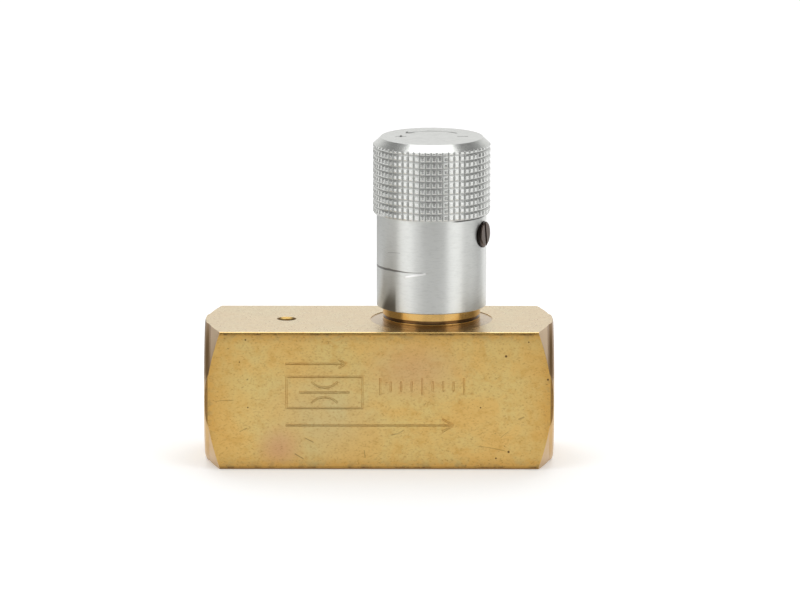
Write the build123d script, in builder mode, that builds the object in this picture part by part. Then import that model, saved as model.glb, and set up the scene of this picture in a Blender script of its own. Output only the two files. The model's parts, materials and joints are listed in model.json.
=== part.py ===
"""Adjustable needle valve cut from square bar, with a knurled and skirted adjusting knob.

Millimetres. The origin is the centre of the body's bottom face, +X runs along the bar towards
the outlet port and +Z runs up the knob axis. The valve is modelled closed, and a full opening
lifts the needle and the knob by LIFT.
"""

from build123d import *
from math import cos, radians, sin, tan
import os

INCH = 25.4
DRILL_POINT = radians(59)  # half angle of a drill's point
RUNNING = 0.02  # radial clearance between a male thread's crest and the bore that it turns in

# Valve body: a length of one inch square bar, turned at both ends
BODY_LENGTH = 2.5 * INCH
BODY_WIDTH = 1.0 * INCH
HALF_LENGTH = BODY_LENGTH / 2
HALF_WIDTH = BODY_WIDTH / 2
LONG_EDGE_RADIUS = 0.4
END_FACE_RADIUS = HALF_WIDTH - 0.3
RIM_LENGTH, RIM_RADIUS = 0.3, 13.15  # broken rim of the end face
STRIP_LENGTH, STRIP_RADIUS = 0.85, 13.65  # narrow turned strip behind the rim
CONE_LENGTH = 2.9  # where the cone behind the strip runs out on the bar's corners
CORNER_RADIUS = HALF_WIDTH * 2**0.5
PORT_Z = HALF_WIDTH

# Pipe ports: 1/4-18 taper threads, one in each end
PORT_RADIUS = 5.675  # crest of the female thread
PORT_DEPTH = 12.5
PORT_THREAD_RADIUS = 6.7  # root of the female thread at the mouth
PORT_THREAD_LENGTH = 10.5
PORT_MOUTH_RADIUS = 7.15
PORT_PITCH = INCH / 18
PIPE_TAPER = 1.79  # half angle in degrees

# Heights up the knob axis, which stands towards the outlet end
KNOB_X = 0.375 * INCH
UNDER_SEAT_Z = 2.5
SEAT_Z = 9.0
CHAMBER_TOP_Z = 15.0
SEAL_BORE_TOP_Z = 19.5
SPOT_FACE_Z = BODY_WIDTH - 0.12
SEAT_RADIUS = 2.4
CHAMBER_RADIUS = 4.75
SEAL_BORE_RADIUS = 6.35
SPOT_FACE_RADIUS = 0.4375 * INCH

# Passages inside the body
INLET_PASSAGE_RADIUS = 2.4
INLET_PASSAGE_ANGLE = 14.0  # slope of the drilling that runs from the inlet down to below the seat
INLET_PASSAGE_Z = 5.0  # height at which that drilling crosses the knob axis
OUTLET_PASSAGE_RADIUS = 2.5
OUTLET_PASSAGE_Z = 11.6

# Blind hole in the top face and the shallow stamped marks
LOCATING_HOLE_X = -16.9
LOCATING_HOLE_RADIUS = 1.45
LOCATING_HOLE_DEPTH = 4.0
LOCATING_HOLE_SINK_RADIUS = 1.8
STAMP_DEPTH = 0.14
STAMP_TAPER = 40  # slope of the marks' sides, in degrees
STROKE = 0.42

# Bonnet: threaded 5/8-18 into the body
BONNET_PITCH = INCH / 18
BONNET_THREAD_RADIUS = 0.3125 * INCH
BONNET_ROOT_RADIUS = BONNET_THREAD_RADIUS - 0.75
BONNET_BOTTOM_Z = CHAMBER_TOP_Z + 0.1
NOSE_RADIUS = SEAL_BORE_RADIUS - 0.05
STATIC_GROOVE_RADIUS = 4.93
STATIC_GROOVE_Z = BONNET_BOTTOM_Z + 0.6
THREAD_RELIEF_Z = 24.3
BONNET_THREAD_START = 137  # degrees round the knob axis at which the thread starts
NECK_RADIUS = 8.9
NECK_TOP_Z = 36.0
NECK_GROOVE_Z = SPOT_FACE_Z + 1.05
NECK_GROOVE_HEIGHT, NECK_GROOVE_DEPTH = 0.6, 0.4
BARREL_RADIUS = 6.0
BARREL_TOP_Z = 50.5
SPANNER_HOLE_RADIUS = 0.9
SPANNER_HOLE_CIRCLE = 7.45

# Stem: threaded 1/4-28 in the bonnet, so one turn lifts the needle by one pitch
STEM_PITCH = INCH / 28
STEM_RADIUS = 0.125 * INCH
STEM_ROOT_RADIUS = STEM_RADIUS - 0.5
STEM_BOTTOM_Z = 29.6
STEM_SOCKET_RADIUS = 3.1
STEM_RELIEF_Z = 33.8
STEM_THREAD_Z = 34.9
STEM_SHOULDER_Z = 51.0
SPIGOT_RADIUS = 2.6
SPIGOT_TOP_Z = 56.8
TURNS = 6
LIFT = TURNS * STEM_PITCH

# Needle: slides in the bonnet's bore, hung from the stem by its T-shaped head
PISTON_RADIUS = 3.93
PISTON_BORE_RADIUS = PISTON_RADIUS + 0.04
PISTON_BOTTOM_Z = 18.5
PISTON_TOP_Z = 29.5
PISTON_BORE_TOP_Z = PISTON_TOP_Z + LIFT + 0.06
PISTON_GROOVE_RADIUS = 2.55
PISTON_GROOVE_Z = 21.7
SHANK_RADIUS = 3.0
TIP_Z = 4.5
TIP_RADIUS = 0.5
TAPER_RADIUS = 1.6  # where the slender metering taper meets the 60 degree seating cone
HANGER_RADIUS = 1.6
HEAD_RADIUS = 2.3
HEAD_Z = 31.0
HEAD_TOP_Z = 31.9
BALL_RADIUS = 1.2
BALL_BORE_TOP_Z = HEAD_TOP_Z + 1.9

# Seal rings, as they are when squeezed into their grooves
RING_HEIGHT = 1.95
RING_CORNER = 0.6
BACKUP_HEIGHT = 1.2

# Knob: a plain skirt under a knurled grip
SKIRT_RADIUS = 10.0
SKIRT_BORE_RADIUS = 9.05
SKIRT_BOTTOM_Z = 28.1
SKIRT_TOP_Z = 45.2
SKIRT_BORE_TOP_Z = 37.2
GRIP_RADIUS = 10.7
GRIP_EDGE_RADIUS, GRIP_EDGE_Z = 10.5, 45.3  # lower edge of the grip, below its chamfer
GRIP_BOTTOM_Z = 45.65
GRIP_TOP_Z = 57.9
KNOB_TOP_Z = 59.2
KNOB_TOP_RADIUS = 9.3
KNOB_BORE_RADIUS = 6.15
KNURL_COLUMNS = 62
KNURL_ROWS = 10
KNURL_ROW_PITCH = 1.195
KNURL_FIRST_ROW_Z = 46.6
KNURL_FIRST_COLUMN = 2.1  # degrees round the knob axis
KNURL_DEPTH = 0.2
COLUMN_GROOVE_WIDTH = 0.52
ROW_GROOVE_WIDTH = 0.64

# Lock screw: #10-32 across the knob's skirt, with a soft pad that grips the bonnet's barrel
LOCK_Z = 41.8
LOCK_AZIMUTH = radians(-21)
LOCK_PITCH = INCH / 32
LOCK_RADIUS = 2.415
LOCK_ROOT_RADIUS = LOCK_RADIUS - 0.45
LOCK_LENGTH = 0.125 * INCH
LOCK_FACE = 10.57  # distance of the slotted face from the knob axis
SLOT_WIDTH = 0.8
SLOT_DEPTH = 1.1
SLOT_TILT = 12
PAD_RADIUS = 1.8
PAD_FACE = BARREL_RADIUS + 0.417
PAD_SHANK_RADIUS = 0.8

KNOB_AXIS = Axis((KNOB_X, 0, 0), (0, 0, 1))
PORT_AXIS = Axis((0, 0, PORT_Z), (1, 0, 0))
# Section through the knob axis: local x is the radius and local y the height
KNOB_SECTION = Plane(origin=(KNOB_X, 0, 0), x_dir=(1, 0, 0), z_dir=(0, -1, 0))

LOCK_OUT = (cos(LOCK_AZIMUTH), sin(LOCK_AZIMUTH), 0)
LOCK_ORIGIN = (KNOB_X, 0, LOCK_Z)
LOCK_AXIS = Axis(LOCK_ORIGIN, LOCK_OUT)
LOCK_PLANE = Plane(origin=LOCK_ORIGIN, x_dir=(0, 0, 1), z_dir=LOCK_OUT)
# Section through the lock screw: local x is its radius, local y the distance from the knob axis
LOCK_SECTION = Plane(origin=LOCK_ORIGIN, x_dir=(0, 0, 1), z_dir=(-LOCK_OUT[1], LOCK_OUT[0], 0))


def thread_cutter(pitch, length, open_radius, deep_radius, cone_angle=0, open_share=0.88):
    """A V-shaped helical groove about +Z that cuts a screw thread.

    The groove is widest at its open radius, where it takes open_share of the pitch.
    """
    with BuildPart() as cutter:
        with BuildLine() as path:
            Helix(pitch=pitch, height=length, radius=deep_radius, cone_angle=cone_angle)
        with BuildSketch(Plane(origin=path.line @ 0, x_dir=(1, 0, 0), z_dir=path.line % 0)):
            Polygon(
                (open_radius - deep_radius, -open_share / 2 * pitch),
                (open_radius - deep_radius, open_share / 2 * pitch),
                (0, 0.05 * pitch),
                (0, -0.05 * pitch),
                align=None,
            )
        sweep(is_frenet=True)
    return cutter.part


def seal_ring(inner_radius, outer_radius, bottom_z, height, corner_radius):
    """One ring of rounded rectangular section about the knob axis."""
    with BuildPart() as ring:
        with BuildSketch(KNOB_SECTION):
            with Locations(((inner_radius + outer_radius) / 2, bottom_z + height / 2)):
                RectangleRounded(outer_radius - inner_radius, height, corner_radius)
        revolve(axis=KNOB_AXIS)
    return ring


def knurl_groove(width):
    """V-groove in a surface at local x = 0, drawn to half as far outside the surface as it is deep."""
    Polygon(
        (-KNURL_DEPTH, 0), (KNURL_DEPTH / 2, 0.75 * width), (KNURL_DEPTH / 2, -0.75 * width), align=None
    )


# Envelope of the turned bar ends: a broken rim, a narrow strip and then a cone that cuts the corners
with BuildPart() as turned_ends:
    with BuildSketch(Plane.XY.offset(PORT_Z)):
        with BuildLine():
            Polyline(
                (-HALF_LENGTH, 0),
                (-HALF_LENGTH, END_FACE_RADIUS),
                (-HALF_LENGTH + RIM_LENGTH, RIM_RADIUS),
                (-HALF_LENGTH + STRIP_LENGTH, STRIP_RADIUS),
                (-HALF_LENGTH + CONE_LENGTH, CORNER_RADIUS),
                (HALF_LENGTH - CONE_LENGTH, CORNER_RADIUS),
                (HALF_LENGTH - STRIP_LENGTH, STRIP_RADIUS),
                (HALF_LENGTH - RIM_LENGTH, RIM_RADIUS),
                (HALF_LENGTH, END_FACE_RADIUS),
                (HALF_LENGTH, 0),
                close=True,
            )
        make_face()
    revolve(axis=PORT_AXIS)

# Pipe thread, cut inwards from a mouth at the origin
pipe_thread = thread_cutter(
    PORT_PITCH,
    PORT_THREAD_LENGTH,
    PORT_RADIUS - 0.15,
    PORT_THREAD_RADIUS,
    cone_angle=-PIPE_TAPER,
    open_share=0.68,
)

# Marks stamped in the front face, in rows: a short arrow, a framed symbol for an adjustable
# throttle with a tally of strokes beside it, and a long arrow for the direction of flow
ROW_LEFT = -17.0
SHORT_ARROW_Z = 19.6
FLOW_ARROW_Z = 8.2
FRAME_CENTRE = (-9.9, 14.3)
FRAME_SIZE = (14.2, 6.2)
TALLY_STROKES = 9
TALLY_PITCH = 1.9

with BuildSketch() as stamp:
    for arrow_end, arrow_z, barb_length in ((-6.0, SHORT_ARROW_Z, 1.6), (13.5, FLOW_ARROW_Z, 2.4)):
        with Locations(((ROW_LEFT + arrow_end) / 2, arrow_z)):
            Rectangle(arrow_end - ROW_LEFT, STROKE)
        for barb_angle in (150, -150):
            with BuildLine():
                PolarLine((arrow_end, arrow_z), barb_length, barb_angle)
            trace(line_width=STROKE)

    with Locations(FRAME_CENTRE):
        Rectangle(*FRAME_SIZE)
        Rectangle(FRAME_SIZE[0] - 2 * STROKE, FRAME_SIZE[1] - 2 * STROKE, mode=Mode.SUBTRACT)
    with Locations(FRAME_CENTRE):
        Rectangle(FRAME_SIZE[0] - 5, STROKE)
    for side in (-1, 1):
        with BuildLine():
            ThreePointArc(
                (FRAME_CENTRE[0] - 2.4, FRAME_CENTRE[1] + side * 2.0),
                (FRAME_CENTRE[0], FRAME_CENTRE[1] + side * 0.9),
                (FRAME_CENTRE[0] + 2.4, FRAME_CENTRE[1] + side * 2.0),
            )
        trace(line_width=STROKE)

    for stroke in range(TALLY_STROKES):
        with Locations((0.2 + stroke * TALLY_PITCH, 15.4)):
            Rectangle(STROKE, 3.2 if stroke % 4 == 0 else 1.9)

with BuildPart() as valve_body:
    with Locations((0, 0, HALF_WIDTH)):
        Box(BODY_LENGTH, BODY_WIDTH, BODY_WIDTH)
    fillet(valve_body.edges().filter_by(Axis.X), LONG_EDGE_RADIUS)
    add(turned_ends.part, mode=Mode.INTERSECT)

    # Cavity about the knob axis: under-seat bore, seat, chamber, seal bore, thread, spot face
    with BuildSketch(KNOB_SECTION):
        with BuildLine():
            Polyline(
                (0, UNDER_SEAT_Z),
                (SEAT_RADIUS, UNDER_SEAT_Z),
                (SEAT_RADIUS, SEAT_Z),
                (CHAMBER_RADIUS, SEAT_Z + (CHAMBER_RADIUS - SEAT_RADIUS) / tan(DRILL_POINT)),
                (CHAMBER_RADIUS, CHAMBER_TOP_Z),
                (SEAL_BORE_RADIUS, CHAMBER_TOP_Z),
                (SEAL_BORE_RADIUS, SEAL_BORE_TOP_Z),
                (BONNET_THREAD_RADIUS + RUNNING, SEAL_BORE_TOP_Z),
                (BONNET_THREAD_RADIUS + RUNNING, SPOT_FACE_Z),
                (SPOT_FACE_RADIUS, SPOT_FACE_Z),
                (SPOT_FACE_RADIUS, BODY_WIDTH + 1),
                (0, BODY_WIDTH + 1),
                close=True,
            )
        make_face()
    revolve(axis=KNOB_AXIS, mode=Mode.SUBTRACT)

    # Port drillings with their drill points and mouth chamfers
    for side in (-1, 1):
        mouth_x = side * HALF_LENGTH
        bottom_x = mouth_x - side * PORT_DEPTH
        with BuildSketch(Plane.XY.offset(PORT_Z)):
            with BuildLine():
                Polyline(
                    (bottom_x - side * PORT_RADIUS / tan(DRILL_POINT), 0),
                    (bottom_x, PORT_RADIUS),
                    (mouth_x - side * (PORT_MOUTH_RADIUS - PORT_RADIUS), PORT_RADIUS),
                    (mouth_x, PORT_MOUTH_RADIUS),
                    (mouth_x, 0),
                    close=True,
                )
            make_face()
        revolve(axis=PORT_AXIS, mode=Mode.SUBTRACT)
        add(pipe_thread.moved(Location((mouth_x, 0, PORT_Z), (0, -90 * side, 0))), mode=Mode.SUBTRACT)

    # Level outlet passage, from the chamber to the outlet port
    with BuildSketch(Plane(origin=(KNOB_X, 0, OUTLET_PASSAGE_Z), z_dir=(1, 0, 0))):
        Circle(OUTLET_PASSAGE_RADIUS)
    extrude(amount=HALF_LENGTH - PORT_DEPTH - KNOB_X, mode=Mode.SUBTRACT)

    # Sloping inlet passage, from the bottom of the inlet port to the bore below the seat
    slope = radians(INLET_PASSAGE_ANGLE)
    with BuildSketch(Plane(origin=(KNOB_X, 0, INLET_PASSAGE_Z), z_dir=(-cos(slope), 0, sin(slope)))):
        Circle(INLET_PASSAGE_RADIUS)
    extrude(amount=(KNOB_X + HALF_LENGTH - PORT_DEPTH) / cos(slope) + 1, mode=Mode.SUBTRACT)

    # Blind hole in the top face, countersunk at the mouth, with the drill's point at its bottom
    hole_bottom_z = BODY_WIDTH - LOCATING_HOLE_DEPTH
    with BuildSketch(Plane(origin=(LOCATING_HOLE_X, 0, 0), x_dir=(1, 0, 0), z_dir=(0, -1, 0))):
        with BuildLine():
            Polyline(
                (0, hole_bottom_z - LOCATING_HOLE_RADIUS / tan(DRILL_POINT)),
                (LOCATING_HOLE_RADIUS, hole_bottom_z),
                (LOCATING_HOLE_RADIUS, BODY_WIDTH + LOCATING_HOLE_RADIUS - LOCATING_HOLE_SINK_RADIUS),
                (LOCATING_HOLE_SINK_RADIUS, BODY_WIDTH),
                (0, BODY_WIDTH),
                close=True,
            )
        make_face()
    revolve(axis=Axis((LOCATING_HOLE_X, 0, 0), (0, 0, 1)), mode=Mode.SUBTRACT)

    # Marks stamped in the front face
    with BuildSketch(Plane(origin=(0, -HALF_WIDTH, 0), x_dir=(1, 0, 0), z_dir=(0, -1, 0))):
        add(stamp.sketch)
    extrude(amount=-STAMP_DEPTH, taper=STAMP_TAPER, mode=Mode.SUBTRACT)


bonnet_thread = thread_cutter(
    BONNET_PITCH, THREAD_RELIEF_Z - SEAL_BORE_TOP_Z + 0.6, BONNET_THREAD_RADIUS + 0.1, BONNET_ROOT_RADIUS
)

with BuildPart() as bonnet:
    with BuildSketch(KNOB_SECTION):
        with BuildLine():
            Polyline(
                (PISTON_BORE_RADIUS, BONNET_BOTTOM_Z),
                (NOSE_RADIUS - 0.2, BONNET_BOTTOM_Z),
                (NOSE_RADIUS, BONNET_BOTTOM_Z + 0.2),
                (NOSE_RADIUS, STATIC_GROOVE_Z),
                (STATIC_GROOVE_RADIUS, STATIC_GROOVE_Z),
                (STATIC_GROOVE_RADIUS, STATIC_GROOVE_Z + RING_HEIGHT + BACKUP_HEIGHT + 0.1),
                (NOSE_RADIUS, STATIC_GROOVE_Z + RING_HEIGHT + BACKUP_HEIGHT + 0.1),
                (NOSE_RADIUS, SEAL_BORE_TOP_Z + 0.1),
                (BONNET_ROOT_RADIUS, SEAL_BORE_TOP_Z + 0.1),
                (BONNET_THREAD_RADIUS, SEAL_BORE_TOP_Z + 0.85),
                (BONNET_THREAD_RADIUS, THREAD_RELIEF_Z),
                (BONNET_ROOT_RADIUS, THREAD_RELIEF_Z + 0.2),
                (BONNET_ROOT_RADIUS, SPOT_FACE_Z),
                (NECK_RADIUS, SPOT_FACE_Z),
                (NECK_RADIUS, NECK_TOP_Z - 0.3),
                (NECK_RADIUS - 0.3, NECK_TOP_Z),
                (BARREL_RADIUS, NECK_TOP_Z),
                (BARREL_RADIUS, BARREL_TOP_Z - 0.3),
                (BARREL_RADIUS - 0.3, BARREL_TOP_Z),
                (STEM_RADIUS + 0.4, BARREL_TOP_Z),
                (STEM_RADIUS + RUNNING, BARREL_TOP_Z - 0.4),
                (STEM_RADIUS + RUNNING, PISTON_BORE_TOP_Z),
                (PISTON_BORE_RADIUS, PISTON_BORE_TOP_Z),
                close=True,
            )
        make_face()
    revolve(axis=KNOB_AXIS)
    thread_start = Location((KNOB_X, 0, SEAL_BORE_TOP_Z - 0.3), (0, 0, BONNET_THREAD_START))
    add(bonnet_thread.moved(thread_start), mode=Mode.SUBTRACT)

    # Groove round the foot of the neck, and the scale: the skirt uncovers one line each turn
    with BuildSketch(KNOB_SECTION):
        with Locations((NECK_RADIUS, NECK_GROOVE_Z)):
            Rectangle(2 * NECK_GROOVE_DEPTH, NECK_GROOVE_HEIGHT)
        for turn in range(1, TURNS + 1):
            with Locations((NECK_RADIUS, SKIRT_BOTTOM_Z + turn * STEM_PITCH - 0.25)):
                Rectangle(0.24, 0.25)
    revolve(axis=KNOB_AXIS, mode=Mode.SUBTRACT)

    # Two pin-spanner holes in the shoulder
    with Locations(Plane(origin=(KNOB_X, 0, NECK_TOP_Z))):
        with PolarLocations(SPANNER_HOLE_CIRCLE, 2):
            Hole(SPANNER_HOLE_RADIUS, 3)

bonnet_o_ring = seal_ring(
    STATIC_GROOVE_RADIUS, SEAL_BORE_RADIUS, STATIC_GROOVE_Z, RING_HEIGHT, RING_CORNER
)
bonnet_backup_ring = seal_ring(
    STATIC_GROOVE_RADIUS, SEAL_BORE_RADIUS, STATIC_GROOVE_Z + RING_HEIGHT, BACKUP_HEIGHT, 0.1
)


# Height over which the 60 degree seating cone grows by one millimetre of radius
CONE_RISE = 1 / tan(radians(30))
SEATED_RADIUS = SEAT_RADIUS - RUNNING

with BuildPart() as needle:
    with BuildSketch(KNOB_SECTION):
        with BuildLine():
            Polyline(
                (0, TIP_Z),
                (TIP_RADIUS, TIP_Z),
                (TAPER_RADIUS, SEAT_Z - (SEATED_RADIUS - TAPER_RADIUS) * CONE_RISE),
                (SHANK_RADIUS, SEAT_Z + (SHANK_RADIUS - SEATED_RADIUS) * CONE_RISE),
                (SHANK_RADIUS, PISTON_BOTTOM_Z - 1),
                (PISTON_RADIUS, PISTON_BOTTOM_Z),
                (PISTON_RADIUS, PISTON_GROOVE_Z),
                (PISTON_GROOVE_RADIUS, PISTON_GROOVE_Z),
                (PISTON_GROOVE_RADIUS, PISTON_GROOVE_Z + RING_HEIGHT + 2 * BACKUP_HEIGHT),
                (PISTON_RADIUS, PISTON_GROOVE_Z + RING_HEIGHT + 2 * BACKUP_HEIGHT),
                (PISTON_RADIUS, PISTON_TOP_Z - 0.3),
                (PISTON_RADIUS - 0.3, PISTON_TOP_Z),
                (HANGER_RADIUS, PISTON_TOP_Z),
                (HANGER_RADIUS, HEAD_Z),
                (HEAD_RADIUS, HEAD_Z),
                (HEAD_RADIUS, HEAD_TOP_Z),
                (0, HEAD_TOP_Z),
                close=True,
            )
        make_face()
    revolve(axis=KNOB_AXIS)

needle_backup_ring_lower = seal_ring(
    PISTON_GROOVE_RADIUS, PISTON_RADIUS + RUNNING, PISTON_GROOVE_Z, BACKUP_HEIGHT, 0.1
)
needle_o_ring = seal_ring(
    PISTON_GROOVE_RADIUS,
    PISTON_RADIUS + RUNNING,
    PISTON_GROOVE_Z + BACKUP_HEIGHT,
    RING_HEIGHT,
    RING_CORNER,
)
needle_backup_ring_upper = seal_ring(
    PISTON_GROOVE_RADIUS,
    PISTON_RADIUS + RUNNING,
    PISTON_GROOVE_Z + BACKUP_HEIGHT + RING_HEIGHT,
    BACKUP_HEIGHT,
    0.1,
)

with BuildPart() as thrust_ball:
    with Locations((KNOB_X, 0, HEAD_TOP_Z + BALL_RADIUS + 0.01)):
        Sphere(BALL_RADIUS)


stem_thread_length = STEM_SHOULDER_Z - STEM_THREAD_Z
stem_thread = thread_cutter(
    STEM_PITCH, stem_thread_length + STEM_PITCH, STEM_RADIUS + 0.1, STEM_ROOT_RADIUS
)

with BuildPart() as stem:
    with Locations((KNOB_X, 0, STEM_THREAD_Z)):
        Cylinder(STEM_RADIUS, stem_thread_length, align=(Align.CENTER, Align.CENTER, Align.MIN))
    add(stem_thread.moved(Location((KNOB_X, 0, STEM_THREAD_Z - STEM_PITCH / 2))), mode=Mode.SUBTRACT)

    # Lower end: a pocket for the thrust ball, over a socket swaged round the needle's head
    with BuildSketch(KNOB_SECTION):
        with BuildLine():
            Polyline(
                (HANGER_RADIUS + 0.1, STEM_BOTTOM_Z),
                (STEM_SOCKET_RADIUS - 0.6, STEM_BOTTOM_Z),
                (STEM_SOCKET_RADIUS, STEM_BOTTOM_Z + 0.8),
                (STEM_SOCKET_RADIUS, STEM_RELIEF_Z - 0.4),
                (STEM_ROOT_RADIUS - 0.05, STEM_RELIEF_Z),
                (STEM_ROOT_RADIUS - 0.05, STEM_THREAD_Z + 0.2),
                (0, STEM_THREAD_Z + 0.2),
                (0, BALL_BORE_TOP_Z + (BALL_RADIUS + 0.01) / tan(DRILL_POINT)),
                (BALL_RADIUS + 0.01, BALL_BORE_TOP_Z),
                (BALL_RADIUS + 0.01, HEAD_TOP_Z + 0.05),
                (HEAD_RADIUS + 0.1, HEAD_TOP_Z + 0.05),
                (HEAD_RADIUS + 0.1, HEAD_Z - 0.1),
                (HANGER_RADIUS + 0.1, HEAD_Z - 0.1),
                close=True,
            )
        make_face()
    revolve(axis=KNOB_AXIS)

    # Plain spigot, pressed into the knob
    with BuildSketch(Plane(origin=(KNOB_X, 0, STEM_SHOULDER_Z - 0.2))):
        Circle(SPIGOT_RADIUS)
    extrude(amount=SPIGOT_TOP_Z - STEM_SHOULDER_Z + 0.2)
    chamfer(stem.edges().sort_by(Axis.Z)[-1], 0.3)


# Marks engraved in the knob's flat top: a turning arrow, with plus and minus at its two ends
ARROW_RADIUS = 5.6
with BuildSketch() as turning_arrow:
    with BuildLine():
        CenterArc((0, 0), ARROW_RADIUS, 35, 110)
    trace(line_width=STROKE)
    arrow_tip = (ARROW_RADIUS * cos(radians(145)), ARROW_RADIUS * sin(radians(145)))
    for barb_angle in (25, 85):
        with BuildLine():
            PolarLine(arrow_tip, 1.7, barb_angle)
        trace(line_width=STROKE)
    with Locations((-ARROW_RADIUS, 0)):
        Rectangle(2.0, STROKE)
        Rectangle(STROKE, 2.0)
    with Locations((ARROW_RADIUS, 0)):
        Rectangle(2.0, STROKE)

with BuildPart() as knob:
    with BuildSketch(KNOB_SECTION):
        with BuildLine():
            Polyline(
                (SKIRT_BORE_RADIUS, SKIRT_BOTTOM_Z),
                (SKIRT_RADIUS - 0.15, SKIRT_BOTTOM_Z),
                (SKIRT_RADIUS, SKIRT_BOTTOM_Z + 0.15),
                (SKIRT_RADIUS, SKIRT_TOP_Z),
                (GRIP_EDGE_RADIUS, GRIP_EDGE_Z),
                (GRIP_RADIUS, GRIP_BOTTOM_Z),
                (GRIP_RADIUS, GRIP_TOP_Z),
                (KNOB_TOP_RADIUS, KNOB_TOP_Z),
                (0, KNOB_TOP_Z),
                (0, SPIGOT_TOP_Z + 0.2),
                (SPIGOT_RADIUS, SPIGOT_TOP_Z + 0.2),
                (SPIGOT_RADIUS, STEM_SHOULDER_Z),
                (KNOB_BORE_RADIUS, STEM_SHOULDER_Z),
                (KNOB_BORE_RADIUS, SKIRT_BORE_TOP_Z),
                (SKIRT_BORE_RADIUS, SKIRT_BORE_TOP_Z),
                close=True,
            )
        make_face()
    revolve(axis=KNOB_AXIS)

    # Square knurl: V-grooves round the grip, crossed by V-grooves along it
    with BuildSketch(KNOB_SECTION):
        for row in range(KNURL_ROWS):
            with Locations((GRIP_RADIUS, KNURL_FIRST_ROW_Z + row * KNURL_ROW_PITCH)):
                knurl_groove(ROW_GROOVE_WIDTH)
    revolve(axis=KNOB_AXIS, mode=Mode.SUBTRACT)
    with BuildSketch(Plane(origin=(KNOB_X, 0, SKIRT_TOP_Z))):
        with PolarLocations(GRIP_RADIUS, KNURL_COLUMNS, start_angle=KNURL_FIRST_COLUMN):
            knurl_groove(COLUMN_GROOVE_WIDTH)
    extrude(amount=KNOB_TOP_Z - SKIRT_TOP_Z, mode=Mode.SUBTRACT)

    # Lock screw's hole
    with BuildSketch(LOCK_PLANE.offset(KNOB_BORE_RADIUS - 1)):
        Circle(LOCK_RADIUS + RUNNING)
    extrude(amount=SKIRT_RADIUS - KNOB_BORE_RADIUS + 2, mode=Mode.SUBTRACT)

    # Marks engraved in the top face
    with BuildSketch(Plane(origin=(KNOB_X, 0, KNOB_TOP_Z))):
        add(turning_arrow.sketch)
    extrude(amount=-STAMP_DEPTH, mode=Mode.SUBTRACT)


lock_thread = thread_cutter(
    LOCK_PITCH, LOCK_LENGTH + LOCK_PITCH, LOCK_RADIUS + 0.1, LOCK_ROOT_RADIUS
)
LOCK_TIP = LOCK_FACE - LOCK_LENGTH

with BuildPart() as lock_screw:
    with BuildSketch(LOCK_SECTION):
        with BuildLine():
            Polyline(
                (0, LOCK_TIP + 1.2),
                (PAD_SHANK_RADIUS, LOCK_TIP + 1.2),
                (PAD_SHANK_RADIUS, LOCK_TIP),
                (LOCK_ROOT_RADIUS - 0.05, LOCK_TIP),
                (LOCK_RADIUS, LOCK_TIP + 0.5),
                (LOCK_RADIUS, LOCK_FACE - 0.25),
                (LOCK_RADIUS - 0.25, LOCK_FACE),
                (0, LOCK_FACE),
                close=True,
            )
        make_face()
    revolve(axis=LOCK_AXIS)
    add(
        lock_thread.moved(LOCK_PLANE.offset(LOCK_TIP - LOCK_PITCH / 2).location), mode=Mode.SUBTRACT
    )
    with BuildSketch(LOCK_PLANE.offset(LOCK_FACE)):
        Rectangle(3 * LOCK_RADIUS, SLOT_WIDTH, rotation=SLOT_TILT)
    extrude(amount=-SLOT_DEPTH, mode=Mode.SUBTRACT)

with BuildPart() as lock_pad:
    with BuildSketch(LOCK_SECTION):
        with BuildLine():
            Polyline(
                (0, PAD_FACE),
                (PAD_RADIUS - 0.1, PAD_FACE),
                (PAD_RADIUS, PAD_FACE + 0.1),
                (PAD_RADIUS, LOCK_TIP - RUNNING),
                (PAD_SHANK_RADIUS - RUNNING, LOCK_TIP - RUNNING),
                (PAD_SHANK_RADIUS - RUNNING, LOCK_TIP + 1.1),
                (0, LOCK_TIP + 1.1),
                close=True,
            )
        make_face()
    revolve(axis=LOCK_AXIS)


PIECES = {
    "valve_body": valve_body,
    "bonnet": bonnet,
    "bonnet_o_ring": bonnet_o_ring,
    "bonnet_backup_ring": bonnet_backup_ring,
    "needle": needle,
    "needle_backup_ring_lower": needle_backup_ring_lower,
    "needle_o_ring": needle_o_ring,
    "needle_backup_ring_upper": needle_backup_ring_upper,
    "thrust_ball": thrust_ball,
    "stem": stem,
    "knob": knob,
    "lock_screw": lock_screw,
    "lock_pad": lock_pad,
}

os.makedirs("parts", exist_ok=True)
for piece_name, piece in PIECES.items():
    piece.part.label = piece_name
    export_step(piece.part, f"parts/{piece_name}.step")
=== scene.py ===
"""Looks, light and camera for a brass needle valve with a knurled aluminium knob.

Lengths are metres. Inside a material they are millimetres, because its graph scales the object's
coordinates once, so that every blotch, scratch and tool mark has a size that can be read.
"""

import json
import math

import bpy
from mathutils import Matrix, Vector


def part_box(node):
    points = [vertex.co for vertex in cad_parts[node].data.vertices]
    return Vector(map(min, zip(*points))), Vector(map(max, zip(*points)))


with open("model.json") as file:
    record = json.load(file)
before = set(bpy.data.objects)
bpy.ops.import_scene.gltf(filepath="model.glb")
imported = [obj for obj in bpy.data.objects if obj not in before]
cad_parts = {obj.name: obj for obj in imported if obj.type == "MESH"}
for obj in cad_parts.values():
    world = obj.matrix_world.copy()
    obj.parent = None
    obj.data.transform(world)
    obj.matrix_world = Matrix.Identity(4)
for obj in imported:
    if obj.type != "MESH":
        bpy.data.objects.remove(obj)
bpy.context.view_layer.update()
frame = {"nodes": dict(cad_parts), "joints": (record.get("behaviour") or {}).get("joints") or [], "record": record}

MM = 0.001

nodes = frame["nodes"]
joints = {joint["name"]: joint for joint in frame["joints"]}
mounts = {mount["name"]: mount for mount in frame["record"]["mounts"]}
body_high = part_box("valve_body")[1]
knob_low, knob_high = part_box("knob")
bonnet_low, bonnet_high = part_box("bonnet")

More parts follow.
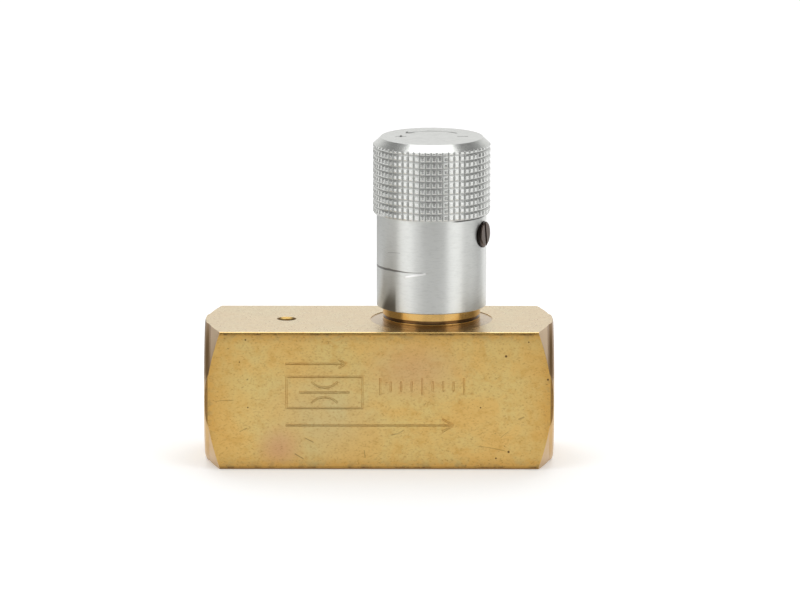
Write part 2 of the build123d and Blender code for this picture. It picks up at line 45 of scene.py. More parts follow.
# The places that the materials use, in millimetres. LOCK_FACE is the lock screw's slotted face, from
# the knob axis
HALF_LENGTH = body_high.x / MM
HALF_WIDTH = body_high.y / MM
BAR_TOP = body_high.z / MM
PORT_Z = BAR_TOP / 2
KNOB_X = joints["knob_turn"]["pos_m"][0] / MM
SKIRT_BOTTOM = knob_low.z / MM
SKIRT_TOP = SKIRT_BOTTOM + 17.1
SKIRT_RADIUS = 10.0
KNOB_TOP = knob_high.z / MM
GRIP_RADIUS = (knob_high.x - knob_low.x) / 2 / MM
NECK_RADIUS = (bonnet_high.x - bonnet_low.x) / 2 / MM
SPOT_FACE_RADIUS = 11.1
LOCK_FACE = 10.57
HOLE_X = mounts["locating_hole"]["pos_m"][0] / MM
HOLE_MOUTH_RADIUS = 1.8


class Graph:
    """One material's shader and the nodes that feed it."""

    def __init__(self, name):
        self.material = bpy.data.materials.new(name)
        self.material.use_nodes = True
        self.tree = self.material.node_tree
        self.shader = self.tree.nodes["Principled BSDF"]
        coordinates = self.tree.nodes.new("ShaderNodeTexCoord")
        self.normal = coordinates.outputs["Normal"]
        self.place = self.vector("MULTIPLY", coordinates.outputs["Object"], (1 / MM,) * 3)

    def plug(self, socket, value):
        """Links a node's output to the socket, or sets the socket to a plain value."""
        if isinstance(value, bpy.types.NodeSocket):
            self.tree.links.new(value, socket)
        elif socket.type == "RGBA" and len(value) == 3:
            socket.default_value = (*value, 1.0)
        else:
            socket.default_value = value

    def node(self, kind, inputs, output=0, **settings):
        """Adds a node, with its inputs by name or number, and returns one of its outputs."""
        made = self.tree.nodes.new(kind)
        for name, value in settings.items():
            setattr(made, name, value)
        for key, value in inputs.items():
            self.plug(made.inputs[key], value)
        return made.outputs[output]

    def math(self, operation, a, b=0.0):
        return self.node("ShaderNodeMath", {0: a, 1: b}, operation=operation)

    def vector(self, operation, a, b):
        return self.node("ShaderNodeVectorMath", {0: a, 1: b}, operation=operation)

    def axes(self, vector):
        """The three parts of a vector."""
        split = self.tree.nodes.new("ShaderNodeSeparateXYZ")
        self.plug(split.inputs[0], vector)
        return split.outputs[0], split.outputs[1], split.outputs[2]

    def ramp(self, value, low, high):
        """0 at low and 1 at high, smooth between, and low may be the larger."""
        flip = low > high
        bottom, top = (high, low) if flip else (low, high)
        inputs = {"Value": value, "From Min": bottom, "From Max": top}
        inputs["To Min"], inputs["To Max"] = (1.0, 0.0) if flip else (0.0, 1.0)
        return self.node("ShaderNodeMapRange", inputs, interpolation_type="SMOOTHSTEP")

    def between(self, value, low, high, soft):
        """1 from low to high, falling to 0 over soft outside them."""
        rise = self.ramp(value, low - soft, low)
        fall = self.ramp(value, high + soft, high)
        return self.math("MULTIPLY", rise, fall)

    def noise(self, size, detail=3.0, roughness=0.55, stretch=(1, 1, 1), offset=(0, 0, 0), warp=0.0):
        """Cloudy noise from 0 to 1 whose features are about size millimetres across."""
        scaled = self.vector("DIVIDE", self.place, tuple(size * part for part in stretch))
        moved = self.vector("ADD", scaled, offset)
        inputs = {
            "Vector": moved,
            "Scale": 1.0,
            "Detail": detail,
            "Roughness": roughness,
            "Distortion": warp,
        }
        return self.node("ShaderNodeTexNoise", inputs)

    def blend(self, factor, a, b, mode="MIX"):
        """Colour a where the factor is 0, and b where it is 1."""
        inputs = {0: factor, 6: a, 7: b}
        return self.node("ShaderNodeMix", inputs, 2, data_type="RGBA", blend_type=mode)

    def levels(self, value, low, high):
        """A number from 0 to 1 spread from low to high."""
        return self.node("ShaderNodeMapRange", {"Value": value, "To Min": low, "To Max": high})

    def near(self, centre, radii):
        """1 at a place and 0 outside the ellipsoid round it, in millimetres."""
        offset = self.vector("DIVIDE", self.vector("SUBTRACT", self.place, centre), radii)
        distance = self.node("ShaderNodeVectorMath", {0: offset}, 1, operation="LENGTH")
        return self.ramp(distance, 1.0, 0.0)

    def radius_about(self, x, y=0.0):
        """Distance in millimetres from an upright line."""
        flat = self.vector("MULTIPLY", self.vector("SUBTRACT", self.place, (x, y, 0)), (1, 1, 0))
        return self.node("ShaderNodeVectorMath", {0: flat}, 1, operation="LENGTH")

    def bumps(self, layers, edge_radius=0.0):
        """Bump layers, each (height, depth in millimetres), one over the other."""
        normal = None
        if edge_radius:
            normal = self.node("ShaderNodeBevel", {"Radius": edge_radius * MM}, samples=6)
        for height, depth in layers:
            inputs = {"Height": height, "Distance": depth * MM, "Strength": 1.0}
            if normal is not None:
                inputs["Normal"] = normal
            normal = self.node("ShaderNodeBump", inputs)
        self.plug(self.shader.inputs["Normal"], normal)

    def finish(self, colour, roughness, metallic=1.0, **constants):
        """Feeds the shader. The constants go on its own sockets."""
        self.plug(self.shader.inputs["Base Color"], colour)
        self.plug(self.shader.inputs["Roughness"], roughness)
        self.shader.inputs["Metallic"].default_value = metallic
        for name, value in constants.items():
            self.shader.inputs[name.replace("_", " ")].default_value = value
        return self.material


def scratch(graph, along, across, start, end, width, bow=0.0):
    """A short scratch on a surface with coordinates along and across: 1 on it, 0 off it."""
    (a0, b0), (a1, b1) = start, end
    length = math.hypot(a1 - a0, b1 - b0)
    ua, ub = (a1 - a0) / length, (b1 - b0) / length
    da, db = graph.math("SUBTRACT", along, a0), graph.math("SUBTRACT", across, b0)
    run = graph.math("ADD", graph.math("MULTIPLY", da, ua), graph.math("MULTIPLY", db, ub))
    off = graph.math("SUBTRACT", graph.math("MULTIPLY", da, -ub), graph.math("MULTIPLY", db, -ua))
    if bow:
        share = graph.math("DIVIDE", run, length)
        arch = graph.math("MULTIPLY", share, graph.math("SUBTRACT", 1.0, share))
        off = graph.math("SUBTRACT", off, graph.math("MULTIPLY", arch, 4 * bow))
    line = graph.ramp(graph.math("ABSOLUTE", off), width, width * 0.3)
    ends = graph.between(run, 0.1 * length, 0.9 * length, 0.1 * length)
    return graph.math("MULTIPLY", line, ends)


def bar_brass():
    """Drawn brass bar, tarnished in patches, with turned ends and stamped marks."""
    graph = Graph("bar_brass")
    x, y, z = graph.axes(graph.place)
    normal_x, normal_y, normal_z = graph.axes(graph.normal)

    golden = (0.76, 0.50, 0.165)
    straw = (0.73, 0.55, 0.21)
    sage = (0.62, 0.54, 0.29)
    amber = (0.65, 0.38, 0.10)
    rose = (0.66, 0.39, 0.20)
    umber = (0.17, 0.095, 0.04)
    russet = (0.33, 0.195, 0.085)
    tan = (0.60, 0.44, 0.29)
    painted_top_sheen = (0.80, 0.70, 0.51)
    rust = (0.50, 0.27, 0.08)
    honey = (0.58, 0.38, 0.16)
    fresh_cut = (0.52, 0.42, 0.34)

    reach = graph.math("ABSOLUTE", x)
    facing_out = graph.math("ABSOLUTE", normal_x)
    facing_side = graph.ramp(graph.math("ABSOLUTE", normal_y), 0.6, 0.9)
    facing_up = graph.ramp(normal_z, 0.85, 0.98)
    upright = graph.ramp(graph.math("ABSOLUTE", normal_z), 0.5, 0.3)

    patches = graph.noise(9.0, 4, 0.6, offset=(3.1, 0.4, 1.7), warp=0.6)
    mottle = graph.noise(1.6, 5, 0.65, stretch=(1.4, 1, 1))
    grain = graph.noise(0.28, 3, 0.6, stretch=(1.6, 1, 1))
    colour = graph.blend(graph.ramp(patches, 0.38, 0.62), golden, straw)
    colour = graph.blend(graph.math("MULTIPLY", graph.ramp(mottle, 0.45, 0.72), 0.6), colour, amber)

    # Cooler film round the marks, warmer towards the ends and edges, a pink stain low down
    cool = graph.near((-0.33 * HALF_LENGTH, 0, 0.38 * BAR_TOP), (16, 60, 13))
    cool = graph.math("MULTIPLY", cool, graph.levels(patches, 0.3, 1.1))
    colour = graph.blend(cool, colour, sage)
    warm = graph.near((0.2 * HALF_LENGTH, 0, 0.72 * BAR_TOP), (13, 60, 8))
    colour = graph.blend(graph.math("MULTIPLY", warm, 0.65), colour, rose)
    ends = graph.ramp(reach, 0.72 * HALF_LENGTH, HALF_LENGTH)
    ends = graph.math("MULTIPLY", ends, graph.levels(mottle, 0.2, 1.0))
    colour = graph.blend(ends, colour, amber)
    stain = graph.near((-0.57 * HALF_LENGTH, 0, 0.16 * BAR_TOP), (5.5, 60, 5.5))
    colour = graph.blend(stain, colour, rose)

    # The top face is painted paler, a painted reflection of the white backdrop. The rounded long edges are rubbed
    # bright, with a dark line painted beside them as shade
    colour = graph.blend(graph.math("MULTIPLY", facing_up, 0.7), colour, painted_top_sheen)
    side = graph.math("ABSOLUTE", y)
    height = graph.math("ABSOLUTE", graph.math("SUBTRACT", z, PORT_Z))
    inner = graph.math("MINIMUM", side, height)
    rubbed = graph.ramp(inner, HALF_WIDTH - 0.36, HALF_WIDTH - 0.26)
    rubbed = graph.math("MULTIPLY", rubbed, graph.ramp(z, PORT_Z, BAR_TOP - 1))
    # Painted shade: a dark line just inside the rounded long edges, standing in for the dark reflection on the
    # lower part of their rounding
    ragged = graph.math("ADD", inner, graph.levels(mottle, -0.16, 0.16))
    edge_shade_line = graph.between(ragged, HALF_WIDTH - 0.56, HALF_WIDTH - 0.38, 0.06)
    colour = graph.blend(graph.math("MULTIPLY", edge_shade_line, upright), colour, umber)
    spread = graph.math("MAXIMUM", inner, graph.math("SUBTRACT", reach, HALF_LENGTH - HALF_WIDTH))
    spread = graph.math("ADD", spread, graph.levels(mottle, -1.3, 1.3))
    film = graph.math("MULTIPLY", graph.ramp(spread, HALF_WIDTH - 2.6, HALF_WIDTH - 0.2), upright)
    film_colour = graph.blend(graph.ramp(mottle, 0.32, 0.56), umber, amber)
    colour = graph.blend(graph.math("MULTIPLY", film, 0.7), colour, film_colour)

    # A painted contact shadow darkens the lower edge, where it meets the table, and the rims of the ends are as
    # dark
    bottom_edge_shade = graph.ramp(z, 0.42, 0.28)
    ragged_reach = graph.math("ADD", reach, graph.levels(mottle, -0.12, 0.12))
    rim = graph.ramp(ragged_reach, HALF_LENGTH - 0.75, HALF_LENGTH - 0.55)
    rim = graph.math("MULTIPLY", rim, facing_side)
    colour = graph.blend(graph.math("MULTIPLY", graph.math("MAXIMUM", bottom_edge_shade, rim), 0.75), colour, umber)

    # Fine speckle, and pits with dirt in them
    fleck = graph.math("MULTIPLY", graph.ramp(grain, 0.54, 0.26), 0.5)
    colour = graph.blend(fleck, colour, rust)
    dark_grain = graph.math("MULTIPLY", graph.ramp(grain, 0.40, 0.22), graph.levels(film, 0.2, 0.8))
    colour = graph.blend(dark_grain, colour, umber)
    cell = graph.vector("DIVIDE", graph.place, (2.3, 2.3, 2.3))
    pit_distance = graph.node("ShaderNodeTexVoronoi", {"Vector": cell, "Scale": 1.0}, 0)
    pit_size = graph.noise(3.0, 1, offset=(7, 2, 5))
    pit_edge = graph.math("SUBTRACT", pit_distance, graph.levels(pit_size, -0.16, 0.14))
    pits = graph.ramp(graph.math("ADD", pit_edge, graph.levels(grain, -0.06, 0.06)), 0.07, -0.03)
    colour = graph.blend(graph.math("MULTIPLY", pits, 0.5), colour, umber)

    # Turned ends: bright end faces, a paler long cone, and dark brown tarnish on the narrow strip
    turned = graph.ramp(facing_out, 0.12, 0.3)
    turned = graph.math("MULTIPLY", turned, graph.ramp(reach, HALF_LENGTH - 3.2, HALF_LENGTH - 3.1))
    across = graph.vector("MULTIPLY", graph.vector("SUBTRACT", graph.place, (0, 0, PORT_Z)), (0, 1, 1))
    reach_out = graph.node("ShaderNodeVectorMath", {0: across}, 1, operation="LENGTH")
    coned = graph.math("MULTIPLY", turned, graph.ramp(facing_out, 0.98, 0.94))
    coned = graph.math("MULTIPLY", coned, graph.ramp(reach_out, HALF_WIDTH - 0.5, HALF_WIDTH - 0.3))
    colour = graph.blend(graph.math("MULTIPLY", turned, 0.7), colour, golden)
    lower_half = graph.ramp(z, PORT_Z + 2, PORT_Z - 2)
    cone_colour = graph.blend(graph.math("MULTIPLY", lower_half, 0.7), tan, honey)
    colour = graph.blend(graph.math("MULTIPLY", coned, 0.85), colour, cone_colour)
    strip = graph.ramp(reach, HALF_LENGTH - 1.25, HALF_LENGTH - 1.1)
    high = graph.ramp(graph.math("ADD", z, graph.levels(mottle, -2, 2)), PORT_Z + 3, PORT_Z + 5)
    tarnish = graph.math("MULTIPLY", graph.math("MULTIPLY", strip, coned), high)
    colour = graph.blend(graph.math("MULTIPLY", tarnish, 0.9), colour, russet)

    # A trace of dirt in the stamped marks of the front face
    sunk = graph.between(y, -HALF_WIDTH + 0.03, -HALF_WIDTH + 0.3, 0.02)
    on_front = graph.ramp(height, HALF_WIDTH - 1, 0)
    in_marks = graph.math("MULTIPLY", sunk, graph.ramp(on_front, 0.0, 0.05))
    colour = graph.blend(graph.math("MULTIPLY", in_marks, 0.12), colour, umber)

    # Painted shade: the small hole in the top is darkened on its left and right walls
    in_hole = graph.ramp(graph.radius_about(HOLE_X), HOLE_MOUTH_RADIUS + 0.2, HOLE_MOUTH_RADIUS + 0.1)
    in_hole = graph.math("MULTIPLY", in_hole, graph.ramp(normal_z, 0.95, 0.85))
    hole_wall_shade = graph.math("MULTIPLY", in_hole, graph.ramp(facing_out, 0.30, 0.60))
    colour = graph.blend(graph.math("MULTIPLY", hole_wall_shade, 0.85), colour, umber)

    # The spot face round the bonnet is freshly cut and greyer
    out = graph.radius_about(KNOB_X)
    cut = graph.ramp(out, SPOT_FACE_RADIUS + 0.05, SPOT_FACE_RADIUS - 0.05)
    cut = graph.math("MULTIPLY", cut, graph.ramp(z, BAR_TOP - 0.5, BAR_TOP - 0.3))
    colour = graph.blend(graph.math("MULTIPLY", cut, 0.6), colour, fresh_cut)

    # Scratches on the front face: from and to, as x and z, then width and bow
    marks = None
    for start, end, width, bow in (
        ((-30.0, 12.6), (-26.2, 12.8), 0.08, 0.1),
        ((-25.4, 7.0), (-23.9, 7.7), 0.12, 0.0),
        ((-15.4, 3.0), (-13.6, 1.9), 0.14, 0.0),
        ((-13.5, 5.9), (-11.8, 5.0), 0.12, 0.0),
        ((-2.7, 3.7), (-2.5, 2.1), 0.12, 0.0),
        ((2.0, 6.4), (4.6, 7.4), 0.14, -0.2),
        ((17.6, 4.4), (23.2, 3.4), 0.08, 0.1),
        ((22.0, 5.8), (23.6, 7.1), 0.08, 0.1),
        ((25.2, 9.3), (26.4, 9.8), 0.22, 0.0),
    ):
        line = scratch(graph, x, z, start, end, width, bow)
        marks = line if marks is None else graph.math("MAXIMUM", marks, line)
    marks = graph.math("MULTIPLY", marks, graph.ramp(y, -HALF_WIDTH + 0.6, -HALF_WIDTH + 0.3))
    marks = graph.math("MULTIPLY", marks, graph.levels(mottle, 0.0, 1.1))
    colour = graph.blend(graph.math("MULTIPLY", marks, 0.75), colour, umber)

    # Deep pits with dirt in them, on the front face: x and z, then radius
    holes = None
    for pit_x, pit_z, radius in (
        (23.0, 21.0, 0.32),
        (23.5, 3.3, 0.30),
        (21.2, 2.1, 0.24),
        (30.6, 16.7, 0.28),
        (27.1, 23.6, 0.20),
        (18.4, 11.5, 0.20),
        (-24.2, 24.0, 0.22),
        (-23.8, 11.5, 0.20),
        (-25.3, 19.9, 0.16),
    ):
        hole = graph.near((pit_x, -HALF_WIDTH, pit_z), (radius, radius, radius))
        holes = hole if holes is None else graph.math("MAXIMUM", holes, hole)
    colour = graph.blend(graph.ramp(holes, 0.0, 0.5), colour, umber)
    pits = graph.math("MAXIMUM", pits, holes)

    # Lathe rings on the ends, drawing lines along the bar and hand scratches
    rings = graph.math("SINE", graph.math("MULTIPLY", reach_out, 38.0))
    rings = graph.math("MULTIPLY", rings, turned)
    cut_rings = graph.math("MULTIPLY", graph.math("SINE", graph.math("MULTIPLY", out, 30.0)), cut)
    drawn = graph.noise(0.35, 2, 0.6, stretch=(40, 1, 1))
    hairline = graph.noise(0.5, 4, 0.7, stretch=(5, 1, 0.5), warp=1.2)

    roughness = graph.math("ADD", graph.levels(mottle, 0.30, 0.46), graph.levels(grain, -0.05, 0.08))
    roughness = graph.math("SUBTRACT", roughness, graph.math("MULTIPLY", turned, 0.08))
    roughness = graph.math("SUBTRACT", roughness, graph.math("MULTIPLY", rubbed, 0.24))
    roughness = graph.math("SUBTRACT", roughness, graph.math("MULTIPLY", facing_up, 0.10))
    graph.bumps(
        (
            (mottle, 0.010),
            (grain, 0.004),
            (drawn, 0.004),
            (hairline, 0.006),
            (graph.math("MULTIPLY", pits, -1.0), 0.015),
            (graph.math("MULTIPLY", marks, -1.0), 0.02),
            (rings, 0.0015),
            (cut_rings, 0.002),
        ),
        edge_radius=0.12,
    )
    return graph.finish(colour, roughness)


def turned_brass():
    """Bright turned brass with fine rings about the knob axis."""
    graph = Graph("turned_brass")
    z = graph.axes(graph.place)[2]
    golden = (0.74, 0.47, 0.16)
    brown = (0.25, 0.13, 0.06)
    near_black = (0.10, 0.05, 0.025)
    cloud = graph.noise(2.0, 4, 0.6)
    speck = graph.noise(0.3, 3, 0.6)
    colour = graph.blend(graph.levels(cloud, 0.0, 0.35), golden, brown)
    # Darker brown towards the foot of the neck, and almost black in the groove round it
    foot = graph.ramp(z, BAR_TOP + 0.7, BAR_TOP + 0.2)
    groove = graph.ramp(graph.radius_about(KNOB_X), NECK_RADIUS - 0.05, NECK_RADIUS - 0.15)
    groove = graph.math("MULTIPLY", groove, graph.ramp(z, BAR_TOP + 2, BAR_TOP + 1.5))
    colour = graph.blend(graph.math("MULTIPLY", foot, 0.5), colour, brown)
    colour = graph.blend(graph.math("MULTIPLY", groove, 0.9), colour, near_black)
    colour = graph.blend(graph.ramp(speck, 0.66, 0.8), colour, brown)
    rings = graph.noise(0.12, 2, 0.6, stretch=(60, 60, 1))
    roughness = graph.levels(cloud, 0.11, 0.22)
    graph.bumps(((rings, 0.002), (speck, 0.002)), edge_radius=0.08)
    return graph.finish(colour, roughness)


def satin_aluminium():
    """Turned aluminium with rings, a bruised line round part of the skirt and bright knurl tops."""
    graph = Graph("satin_aluminium")
    x, y, z = graph.axes(graph.place)
    normal_z = graph.axes(graph.normal)[2]
    pale = (0.77, 0.78, 0.76)
    grey = (0.62, 0.63, 0.61)
    dark = (0.16, 0.155, 0.15)
    bright = (0.95, 0.95, 0.95)
    shadow = (0.05, 0.05, 0.05)
    reflection_dark_grey = (0.18, 0.16, 0.13)

    out = graph.radius_about(KNOB_X)
    cloud = graph.noise(5.0, 4, 0.6)
    fine = graph.noise(0.25, 3, 0.6)
    colour = graph.blend(graph.levels(cloud, 0.1, 0.45), pale, grey)
    colour = graph.blend(graph.math("MULTIPLY", graph.ramp(fine, 0.6, 0.85), 0.35), colour, grey)
    brushed = graph.noise(0.30, 3, 0.7, stretch=(4, 4, 1))
    colour = graph.blend(graph.math("MULTIPLY", graph.ramp(brushed, 0.42, 0.75), 0.6), colour, grey)

    # Angle round the knob from its left side, through the front, in degrees
    across = graph.math("SUBTRACT", x, KNOB_X)
    turn = graph.math("ARCTAN2", y, graph.math("MULTIPLY", across, -1.0))
    turn = graph.math("MULTIPLY", turn, -180 / math.pi)
    on_skirt = graph.ramp(z, SKIRT_TOP + 0.1, SKIRT_TOP - 0.3)

    # A bruise: one thin dark line from the left round to the front, ending in a bright nick
    bruise_z = SKIRT_BOTTOM + 7.6
    wave = graph.levels(graph.noise(6.0, 2), -0.25, 0.25)
    off = graph.math("ABSOLUTE", graph.math("SUBTRACT", graph.math("ADD", z, wave), bruise_z))
    width = graph.math("MULTIPLY", graph.ramp(turn, 75, 35), 0.17)
    line = graph.ramp(graph.math("SUBTRACT", off, width), 0.06, 0.0)
    line = graph.math("MULTIPLY", line, graph.between(turn, -40, 78, 12))
    line = graph.math("MULTIPLY", line, on_skirt)
    colour = graph.blend(graph.math("MULTIPLY", line, 0.8), colour, dark)
    nick = scratch(graph, turn, z, (60, bruise_z - 0.95), (85, bruise_z + 0.05), 0.26)
    nick = graph.math("MULTIPLY", nick, on_skirt)
    colour = graph.blend(nick, colour, bright)
    scuff = scratch(graph, turn, z, (36, bruise_z + 3.1), (56, bruise_z + 3.4), 0.12, bow=0.1)
    scuff = graph.math("MULTIPLY", scuff, on_skirt)
    colour = graph.blend(graph.math("MULTIPLY", scuff, 0.3), colour, dark)

    # The shadowed seam under the grip, on its right
    seam = graph.between(z, SKIRT_TOP - 0.2, SKIRT_TOP, 0.1)
    seam = graph.math("MULTIPLY", seam, graph.between(turn, 118, 160, 8))
    seam = graph.math("MULTIPLY", seam, graph.between(out, SKIRT_RADIUS - 0.2, SKIRT_RADIUS + 0.1, 0.1))
    colour = graph.blend(graph.math("MULTIPLY", seam, 0.9), colour, shadow)

    # A painted dark reflection low on the left of the skirt, with a straight side towards the front
    up = graph.math("SUBTRACT", z, SKIRT_BOTTOM)
    lean = graph.math("SUBTRACT", turn, graph.math("MULTIPLY", up, 3.7))
    dark_reflection = graph.math("MULTIPLY", graph.ramp(lean, 21, 30), graph.ramp(turn, 50.5, 47.5))
    dark_reflection = graph.math("MULTIPLY", dark_reflection, graph.ramp(up, 5.6, 0.8))
    dark_reflection = graph.math("MULTIPLY", dark_reflection, graph.ramp(out, SKIRT_RADIUS - 0.4, SKIRT_RADIUS - 0.2))
    colour = graph.blend(graph.math("MULTIPLY", dark_reflection, 0.85), colour, reflection_dark_grey)

    # The knurl: rough grooves, a little darker, with painted shade along their bottoms, and burnished tops between
    # them
    knurled = graph.between(z, SKIRT_TOP + 0.2, KNOB_TOP - 1.35, 0.1)
    groove = graph.math("MULTIPLY", knurled, graph.ramp(out, GRIP_RADIUS - 0.03, GRIP_RADIUS - 0.07))
    crest = graph.math("MULTIPLY", knurled, graph.ramp(out, GRIP_RADIUS - 0.07, GRIP_RADIUS - 0.03))
    groove_floor_shade = graph.math("MULTIPLY", knurled, graph.ramp(out, GRIP_RADIUS - 0.14, GRIP_RADIUS - 0.2))
    colour = graph.blend(graph.math("MULTIPLY", groove, 0.08), colour, dark)
    colour = graph.blend(graph.math("MULTIPLY", groove_floor_shade, 0.5), colour, dark)

    # A trace of dirt in the marks engraved on the top
    sunk = graph.between(z, KNOB_TOP - 0.3, KNOB_TOP - 0.04, 0.02)
    sunk = graph.math("MULTIPLY", sunk, graph.ramp(out, 9.0, 8.8))
    colour = graph.blend(graph.math("MULTIPLY", sunk, 0.2), colour, dark)

    # Turning: rings round the skirt and circles on the top
    skirt_rings = graph.noise(0.10, 2, 0.7, stretch=(80, 80, 1))
    flat = graph.ramp(normal_z, 0.6, 0.9)
    circles = graph.math("MULTIPLY", graph.math("SINE", graph.math("MULTIPLY", out, 44.0)), flat)
    upright = graph.math("SUBTRACT", 1.0, flat)

    # The top, its bevel and the knurl's crests are smoother than the skirt, and the grooves rougher
    smooth = graph.math("MAXIMUM", graph.ramp(normal_z, 0.45, 0.55), crest)
    roughness = graph.math("ADD", graph.levels(cloud, 0.36, 0.41), graph.levels(fine, -0.02, 0.03))
    roughness = graph.math("SUBTRACT", roughness, graph.math("MULTIPLY", smooth, 0.22))
    roughness = graph.math("ADD", roughness, graph.math("MULTIPLY", groove, 0.13))
    graph.bumps(
        (
            (graph.math("MULTIPLY", skirt_rings, upright), 0.004),
            (fine, 0.002),
            (circles, 0.0012),
            (graph.math("MULTIPLY", line, -1.0), 0.05),
            (nick, 0.04),
        ),
        edge_radius=0.05,
    )

    # The turning spreads a reflection across its rings, which run about the knob axis
    tangent = graph.node("ShaderNodeTangent", {}, direction_type="RADIAL", axis="Z")
    graph.plug(graph.shader.inputs["Tangent"], tangent)
    return graph.finish(colour, roughness, Anisotropic=0.8, Anisotropic_Rotation=0.25)


def black_oxide():
    """Blackened steel, worn to brown on its outer face, and painted brown in its slot to lighten the slot's shade.
    """
    graph = Graph("black_oxide_steel")
    black = (0.022, 0.018, 0.016)
    brown = (0.20, 0.155, 0.13)
    axis = tuple(joints["lock_screw_turn"]["axis"])
    start = tuple(part / MM for part in joints["lock_screw_turn"]["pos_m"])
    from_start = graph.vector("SUBTRACT", graph.place, start)
    outward = graph.node("ShaderNodeVectorMath", {0: from_start, 1: axis}, 1, operation="DOT_PRODUCT")
    aside = graph.vector("CROSS_PRODUCT", from_start, axis)
    from_axis = graph.node("ShaderNodeVectorMath", {0: aside}, 1, operation="LENGTH")
    worn = graph.noise(0.6, 4, 0.65)
    face = graph.ramp(outward, LOCK_FACE - 0.45, LOCK_FACE - 0.1)
    # Painted light: the inside of the slot is painted brown so that its shade reads lighter
    inside = graph.ramp(from_axis, 2.15, 2.0)
    slot_fill_light = graph.math("MULTIPLY", inside, graph.ramp(outward, LOCK_FACE - 1.3, LOCK_FACE - 1.2))
    face = graph.math("MAXIMUM", face, slot_fill_light)
    wear_and_slot_light = graph.math("MULTIPLY", face, graph.levels(worn, 0.35, 1.2))
    colour = graph.blend(wear_and_slot_light, black, brown)
    graph.bumps(((worn, 0.02), (graph.noise(0.15, 2), 0.006)), edge_radius=0.06)
    return graph.finish(colour, graph.levels(worn, 0.32, 0.55))


def ground_steel():
    """Ground stainless steel, with fine rings about the knob axis."""
    graph = Graph("stainless_steel")
    cloud = graph.noise(1.5, 3)
    rings = graph.noise(0.09, 2, 0.6, stretch=(60, 60, 1))
    colour = graph.blend(graph.levels(cloud, 0.2, 0.8), (0.62, 0.61, 0.60), (0.50, 0.50, 0.50))
    graph.bumps(((rings, 0.002),), edge_radius=0.05)
    return graph.finish(colour, graph.levels(cloud, 0.18, 0.3))


def soft_material(name, light, dark, size, rough_low, rough_high, **constants):
    """Rubber or plastic: two close colours in a fine cloud, with a slight grain."""
    graph = Graph(name)
    cloud = graph.noise(size, 4)
    grain = graph.noise(size / 8, 2)
    colour = graph.blend(cloud, light, dark)
    graph.bumps(((grain, 0.004),))
    return graph.finish(colour, graph.levels(grain, rough_low, rough_high), 0.0, **constants)


MATERIALS = {
    "bar_brass": bar_brass(),
    "turned_brass": turned_brass(),
    "satin_aluminium": satin_aluminium(),
    "black_oxide_steel": black_oxide(),
    "stainless_steel": ground_steel(),
    "nitrile": soft_material("nitrile", (0.012, 0.012, 0.013), (0.03, 0.03, 0.03), 0.8, 0.45, 0.65),
    "ptfe": soft_material("ptfe", (0.80, 0.80, 0.78), (0.70, 0.70, 0.67), 0.8, 0.35, 0.5),
    "nylon": soft_material("nylon", (0.78, 0.75, 0.66), (0.66, 0.63, 0.54), 0.8, 0.3, 0.45),
}

for subpart in frame["record"]["subparts"]:
    node = nodes[subpart["node"]]
    node.data.materials.clear()
    node.data.materials.append(MATERIALS[subpart["material_slot"]])


# The dim room's strength, the paper's glow, and the grey cards' height, reach and tone near the valve.
# A card fades from its near tone to its own between the two distances, in millimetres
DIM_ROOM = 0.27
PAPER_GLOW = 0.29
CARD_LIFT = 0.001
CARD_REACH = 0.8
CARD_NEAR_TONE = (0.57, 0.57, 0.56)
CARD_FADE_START, CARD_FADE_END = 190.0, 265.0

# Camera: a long lens a little above the valve, aimed at a point beside its middle
CAMERA_DISTANCE = 1.5
CAMERA_ELEVATION = math.radians(11.1)
CAMERA_ROLL = math.radians(0.04)
CAMERA_LENS = 370.0
AIM = Vector((0.119 * body_high.x, 0.0, 0.488 * knob_high.z))


def make_camera():
    data = bpy.data.cameras.new("camera")
    data.lens = CAMERA_LENS
    data.sensor_width = 36.0
    data.clip_start = 0.05
    data.clip_end = 20.0
    camera = bpy.data.objects.new("camera", data)
    bpy.context.scene.collection.objects.link(camera)
    back = Vector((0.0, -math.cos(CAMERA_ELEVATION), math.sin(CAMERA_ELEVATION)))
    turned = (-back).to_track_quat("-Z", "Y").to_matrix().to_4x4()
    camera.matrix_world = (
        Matrix.Translation(AIM + back * CAMERA_DISTANCE)
        @ turned
        @ Matrix.Rotation(CAMERA_ROLL, 4, "Z")
    )
    bpy.context.scene.camera = camera


def make_softbox(name, azimuth, elevation, distance, size, power):
    """A rectangular light facing the valve. Azimuth 0 is the camera's side, positive to the right."""
    data = bpy.data.lights.new(name, "AREA")
    data.shape = "RECTANGLE"
    data.size, data.size_y = size
    data.energy = power
    light = bpy.data.objects.new(name, data)
    bpy.context.scene.collection.objects.link(light)
    turn, rise = math.radians(azimuth), math.radians(elevation)
    away = Vector((math.sin(turn) * math.cos(rise), -math.cos(turn) * math.cos(rise), math.sin(rise)))
    light.location = Vector((0.0, 0.0, 0.03)) + away * distance
    light.rotation_mode = "QUATERNION"
    light.rotation_quaternion = away.to_track_quat("Z", "Y")


def make_card(name, low, high, near, far):
    """A grey card on the table, seen only in reflections: a sector of a ring about the knob axis.

    Its azimuths run from low to high degrees. 0 is the camera's side, and positive is to the right.
    """
    steps = 12
    corners = []
    for distance in (near, far):
        for step in range(steps + 1):
            turn = math.radians(low + (high - low) * step / steps)
            place = (KNOB_X * MM + distance * math.sin(turn), -distance * math.cos(turn), CARD_LIFT)
            corners.append(place)
    faces = [(step, step + 1, step + steps + 2, step + steps + 1) for step in range(steps)]
    mesh = bpy.data.meshes.new(name)
    mesh.from_pydata(corners, [], faces)
    card = bpy.data.objects.new(name, mesh)
    bpy.context.scene.collection.objects.link(card)
    card.visible_camera = False
    card.visible_diffuse = False
    card.visible_shadow = False
    return card


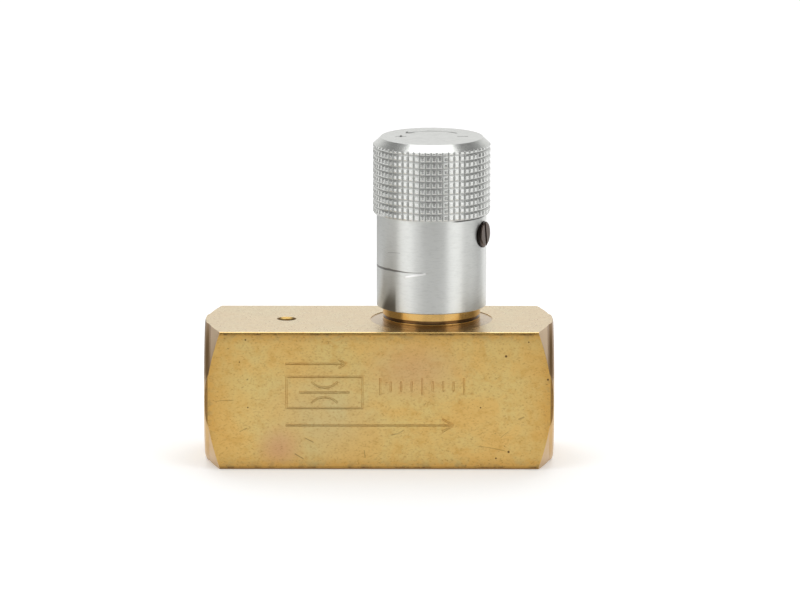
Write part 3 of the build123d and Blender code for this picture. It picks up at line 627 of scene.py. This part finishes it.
def make_world():
    """A white room behind, paler near its floor, and a dim room at the sides and in front."""
    world = bpy.data.worlds.new("studio")
    world.use_nodes = True
    tree = world.node_tree
    background = tree.nodes["Background"]
    direction = tree.nodes.new("ShaderNodeTexCoord").outputs["Generated"]
    split = tree.nodes.new("ShaderNodeSeparateXYZ")
    tree.links.new(direction, split.inputs[0])

    # Strength of the white room, less the dim room's, from the depth and then the height of the view
    strength = None
    for part, start, end, from_value, to_value in ((1, 0.40, 0.78, 0.0, 0.55), (2, 0.25, 0.60, 1.0, 0.45)):
        shade = tree.nodes.new("ShaderNodeMapRange")
        shade.interpolation_type = "SMOOTHSTEP"
        tree.links.new(split.outputs[part], shade.inputs["Value"])
        shade.inputs["From Min"].default_value = start
        shade.inputs["From Max"].default_value = end
        shade.inputs["To Min"].default_value = from_value
        shade.inputs["To Max"].default_value = to_value
        if strength is None:
            strength = shade.outputs[0]
        else:
            product = tree.nodes.new("ShaderNodeMath")
            product.operation = "MULTIPLY_ADD"
            tree.links.new(strength, product.inputs[0])
            tree.links.new(shade.outputs[0], product.inputs[1])
            product.inputs[2].default_value = DIM_ROOM
            strength = product.outputs[0]
    tree.links.new(strength, background.inputs["Strength"])
    background.inputs["Color"].default_value = (1.0, 1.0, 0.985, 1.0)
    bpy.context.scene.world = world


def make_table():
    """White paper, with a glow that keeps the shadow on it faint."""
    bpy.ops.mesh.primitive_grid_add(x_subdivisions=2, y_subdivisions=2, size=8.0)
    table = bpy.context.object
    table.name = "table"
    paper = Graph("paper")
    tone = paper.noise(40.0, 2)
    colour = paper.blend(tone, (0.90, 0.90, 0.90), (0.87, 0.87, 0.87))
    glow = {"Emission_Color": (1.0, 1.0, 1.0, 1.0), "Emission_Strength": PAPER_GLOW}
    table.data.materials.append(paper.finish(colour, 0.9, 0.0, **glow))


def make_studio():
    """Three soft lights, a white table, and grey cards that draw the dark bands on bright metal."""
    make_world()
    make_softbox("left_softbox", -55, 28, 0.8, (0.5, 0.9), 1.45)
    make_softbox("right_softbox", 52, 28, 0.8, (0.46, 0.9), 1.5)
    make_softbox("overhead_softbox", 180, 68, 1.1, (1.1, 1.7), 9.0)
    make_table()

    for name, low, high, near, tone in (
        ("front_card", -20, 30, 0.15, 0.24),
        ("left_card", -112, -77, 0.25, 0.36),
        ("left_rear_card", -165, -112, 0.15, 0.30),
        ("right_card", 98, 130, 0.20, 0.12),
    ):
        card = make_card(name, low, high, near, CARD_REACH)
        paint = Graph(name)
        distance = paint.math("ADD", paint.radius_about(KNOB_X), paint.noise(40.0, 2))
        fade = paint.ramp(distance, CARD_FADE_START, CARD_FADE_END)
        grey = paint.blend(fade, CARD_NEAR_TONE, (tone, tone, tone))
        card.data.materials.append(paint.finish(grey, 0.9, 0.0))


make_camera()
make_studio()

scene = bpy.context.scene
scene.view_settings.view_transform = "Standard"
scene.view_settings.look = "None"
scene.cycles.use_denoising = True
